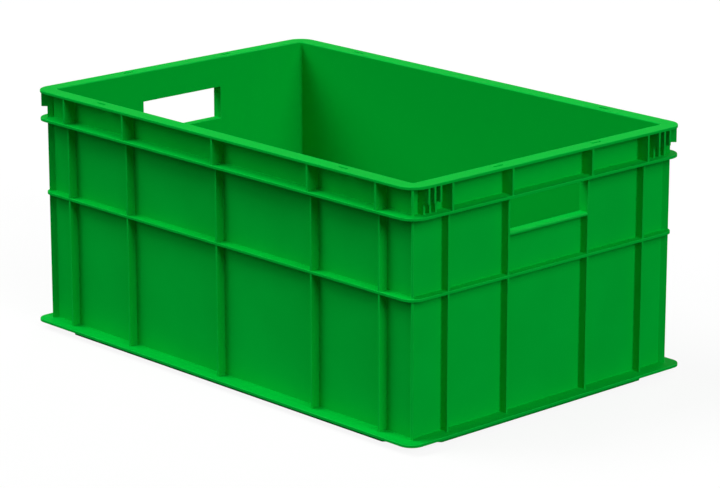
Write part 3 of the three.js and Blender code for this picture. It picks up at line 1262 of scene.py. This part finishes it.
@dataclass(kw_only=True)
class CornerComb(Piece):
    """The notched fins at one corner: three on the end wall and one that stands out diagonally."""

    fin: CornerFin
    side_x: int
    side_y: int
    count: int = 3
    thickness: float = 2.5
    first_bay: float = 8.0
    pitch: float = 8.0
    foot_depth: float = 8.0
    top_depth: float = 15.0
    diagonal_top: float = 12.5
    notch_fillet: float = 2.0
    notch_edge: float = 0.5
    edge_round: float = 0.4
    sink: float = 0.3

    def profile(self, foot: float, top: float, fillet: float) -> Loop:
        """Side view of a fin, drawn as (outwards, up), with its roots sunk into walls and plates.

        Args:
            foot: How far its foot stands out.
            top: How far it stands out over the notch.
            fillet: Radius inside the notch, or 0 for a square one.

        Returns:
            The outline, with both faces' edges rounded.
        """
        low, high = self.levels.upper_belt[1] - self.sink, self.levels.rim[0] + self.sink
        notch = self.levels.notch
        corners = [
            Corner(-self.sink, low),
            Corner(foot, low),
            Corner(foot, notch, fillet),
            Corner(top, notch, self.notch_edge),
            Corner(top, high),
            Corner(-self.sink, high),
        ]
        return Loop(corners, rounded(self.edge_round), rounded(self.edge_round))

    def blade(self, loop: Loop, root: Pair, out: Pair) -> None:
        """Adds one fin.

        Args:
            loop: Side view of the fin.
            root: Where its root stands, in plan.
            out: The direction that it stands out in, in plan.
        """
        half = self.thickness / 2
        self.draft.extrude([loop], -half, half, Place.standing(root, out))

    def shape(self) -> None:
        """Adds all four fins of the corner."""
        x, y = self.side_x * self.plan.outer[0], self.side_y * self.plan.outer[1]
        upright = self.profile(self.foot_depth, self.top_depth, self.notch_fillet)
        for index in range(self.count):
            bay = self.first_bay + index * self.pitch
            self.blade(upright, (x, y - self.side_y * bay), (float(self.side_x), 0.0))
        slanting = self.profile(self.fin.reach, self.diagonal_top, 0.0)
        self.blade(slanting, (x, y), (self.side_x * math.sqrt(0.5), self.side_y * math.sqrt(0.5)))


@dataclass
class Crate:
    """The whole crate: the sizes that its pieces share, and the list of the pieces."""

    plan: Plan = Plan()
    levels: Levels = Levels()
    plastic: MouldedPlastic = MouldedPlastic()
    ribs: RibLayout = RibLayout()
    fin: CornerFin = CornerFin()
    lower_rib_depth: float = 9.7
    upper_rib_depth: float = 14.8
    floor_fillet: float = 2.0

    @property
    def shared(self) -> tuple[Plan, Levels, MouldedPlastic]:
        """What every piece needs."""
        return self.plan, self.levels, self.plastic

    def wall_nodes(self, band: str) -> tuple[str, ...]:
        """Names of the four walls' nodes in one band."""
        return tuple(f"{side.name.lower()}_wall_{band}" for side in Side)

    def fin_nodes(self, band: str) -> tuple[str, ...]:
        """Names of the four corner fins' nodes in one band."""
        corners = ("back_right", "back_left", "front_left", "front_right")
        return tuple(f"{corner}_fin_{band}" for corner in corners)

    def combs(self) -> Iterator[CornerComb]:
        """Lists the notched fins at the four corners.

        Yields:
            The fins of one corner.
        """
        for side_x, end in ((1, "right"), (-1, "left")):
            for side_y, long_side in ((1, "back"), (-1, "front")):
                numbers = (1, 2, 3) if side_x == side_y else (4, 5, 6)
                fins = [f"{end}_comb_fin_{number}" for number in numbers]
                yield CornerComb(
                    *self.shared,
                    name=f"{long_side}_{end}_comb",
                    nodes=(*fins, f"{long_side}_{end}_fin_upper"),
                    fin=self.fin,
                    side_x=side_x,
                    side_y=side_y,
                )

    def pieces(self) -> list[Piece]:
        """Lists the crate's pieces, from the ground up.

        Returns:
            The pieces, not built yet.
        """
        levels = self.levels
        sills = ("left_hand_hole_sill", "right_hand_hole_sill")
        return [
            FootBand(*self.shared),
            UndersideRibs(*self.shared),
            BasePlate(*self.shared, level=(levels.foot, levels.base)),
            WallBand(
                *self.shared,
                name="lower_walls",
                nodes=self.wall_nodes("lower") + self.fin_nodes("lower"),
                level=(levels.base, levels.middle_belt[0]),
                ribs=self.ribs,
                rib_depth=self.lower_rib_depth,
                fin=self.fin,
                floor_fillet=self.floor_fillet,
            ),
            FlushBelt(*self.shared, level=levels.middle_belt),
            HandHoleBand(
                *self.shared,
                name="hand_hole_walls",
                nodes=self.wall_nodes("middle") + self.fin_nodes("middle") + sills,
                level=(levels.middle_belt[1], levels.upper_belt[0]),
                ribs=self.ribs,
                rib_depth=self.lower_rib_depth,
                fin=self.fin,
            ),
            WideBelt(*self.shared, level=levels.upper_belt),
            WallBand(
                *self.shared,
                name="upper_walls",
                nodes=self.wall_nodes("upper"),
                level=(levels.upper_belt[1], levels.rim[0]),
                ribs=self.ribs,
                rib_depth=self.upper_rib_depth,
            ),
            *self.combs(),
            Rim(*self.shared, level=levels.rim),
        ]


@dataclass(frozen=True)
class StudioCamera:
    """The photograph's point of view: a long lens, turned and tilted down.

    Its place is in metres, its turns in degrees, and its lens and sensor in millimetres.
    """

    place: Triple = (2.4290, -2.2594, 1.0450)
    yaw: float = 46.918
    pitch: float = 15.616
    lens: float = 160.44
    sensor: float = 36.0

    def build(self) -> None:
        """Makes the camera and gives it to the scene."""
        data = bpy.data.cameras.new("photo_camera")
        data.lens = self.lens
        data.sensor_width = self.sensor
        camera = bpy.data.objects.new("photo_camera", data)
        bpy.context.scene.collection.objects.link(camera)
        camera.location = self.place
        camera.rotation_euler = (math.radians(90.0 - self.pitch), 0.0, math.radians(self.yaw))
        bpy.context.scene.camera = camera


@dataclass(frozen=True)
class SoftLight:
    """A wide, distant studio lamp: where it stands, how wide it looks and how strong it is.

    The azimuth is 0 in front of the crate and 90 at its right end. Azimuth, elevation and spread
    are in degrees, and the distance in metres.
    """

    name: str
    azimuth: float
    elevation: float
    spread: float
    strength: float
    distance: float = 2.0

    def build(self) -> None:
        """Hangs the lamp, aimed at the crate."""
        azimuth, elevation = math.radians(self.azimuth), math.radians(self.elevation)
        level = math.cos(elevation)
        x, y = math.sin(azimuth) * level, -math.cos(azimuth) * level
        back = Vector((x, y, math.sin(elevation)))
        data = bpy.data.lights.new(self.name, "SUN")
        data.angle = math.radians(self.spread)
        data.energy = self.strength
        lamp = bpy.data.objects.new(self.name, data)
        bpy.context.scene.collection.objects.link(lamp)
        lamp.location = back * self.distance
        lamp.rotation_mode = "QUATERNION"
        lamp.rotation_quaternion = back.to_track_quat("Z", "Y")


@dataclass(frozen=True)
class PalePaper:
    """The floor's finish: matt paper that shows as white wherever the crate's shadow isn't."""

    name: str = "pale_floor"
    shade: float = 0.12
    roughness: float = 0.9
    glow: float = 0.9

    def material(self) -> bpy.types.Material:
        """Makes the material.

        Returns:
            The material.
        """
        material = bpy.data.materials.new(self.name)
        material.use_nodes = True
        recipe = Recipe(material.node_tree)
        nodes = material.node_tree.nodes
        paper = nodes["Principled BSDF"]
        recipe.feed(paper.inputs["Base Color"], (self.shade, self.shade, self.shade, 1.0))
        recipe.feed(paper.inputs["Roughness"], self.roughness)
        recipe.feed(paper.inputs["Specular IOR Level"], 0.0)
        glow = recipe.sum_up("MULTIPLY", recipe.shown(), self.glow)
        lift = recipe.node("ShaderNodeEmission", {"Strength": glow})
        both = recipe.node("ShaderNodeAddShader", {0: paper.outputs[0], 1: lift.outputs[0]})
        recipe.feed(nodes["Material Output"].inputs["Surface"], both.outputs[0])
        return material


@dataclass(frozen=True)
class Studio:
    """The pale floor, the white surroundings and the lamps. The floor's size is in metres."""

    ambient: float = 0.03
    floor_size: float = 12.0
    paper: PalePaper = PalePaper()
    lamps: tuple[SoftLight, ...] = (
        SoftLight("key_lamp", -60.0, 55.0, 30.0, 1.3),
        SoftLight("front_lamp", -30.0, 36.0, 40.0, 0.97),
        SoftLight("end_lamp", 90.0, 24.0, 20.0, 0.88),
        SoftLight("high_end_lamp", 75.0, 40.0, 30.0, 0.72),
        SoftLight("back_lamp", -160.0, 20.0, 30.0, 0.8),
    )

    def build_world(self) -> None:
        """Makes a world that lights softly and shows as white."""
        world = bpy.data.worlds.new("studio")
        bpy.context.scene.world = world
        world.use_nodes = True
        recipe = Recipe(world.node_tree)
        nodes = world.node_tree.nodes
        lit = nodes["Background"]
        recipe.feed(lit.inputs["Color"], WHITE)
        recipe.feed(lit.inputs["Strength"], self.ambient)
        white = recipe.node("ShaderNodeBackground", {"Color": WHITE, "Strength": 1.0})
        inputs = {0: recipe.shown(), 1: lit.outputs[0], 2: white.outputs[0]}
        mixed = recipe.node("ShaderNodeMixShader", inputs)
        recipe.feed(nodes["World Output"].inputs["Surface"], mixed.outputs[0])

    def build_floor(self) -> None:
        """Lays the floor."""
        mesh = bpy.data.meshes.new("floor")
        half = self.floor_size / 2
        corners = [(-half, -half, 0.0), (half, -half, 0.0), (half, half, 0.0), (-half, half, 0.0)]
        mesh.from_pydata(corners, [], [(0, 1, 2, 3)])
        mesh.materials.append(self.paper.material())
        floor = bpy.data.objects.new("studio_floor", mesh)
        bpy.context.scene.collection.objects.link(floor)

    def build(self) -> None:
        """Builds the surroundings and hangs the lamps."""
        self.build_world()
        self.build_floor()
        for lamp in self.lamps:
            lamp.build()
        bpy.context.scene.view_settings.view_transform = "Standard"


def main() -> None:
    """Loads the frame, builds the crate and its studio, and logs each piece's face count."""
    logging.basicConfig(level=logging.INFO, format="%(name)s: %(message)s")
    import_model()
    StudioCamera().build()
    for piece in Crate().pieces():
        faces = len(piece.build().data.polygons)
        log.info("%s: %d faces for %s", piece.name, faces, ", ".join(piece.nodes))
    Studio().build()


if __name__ == "__main__":
    main()
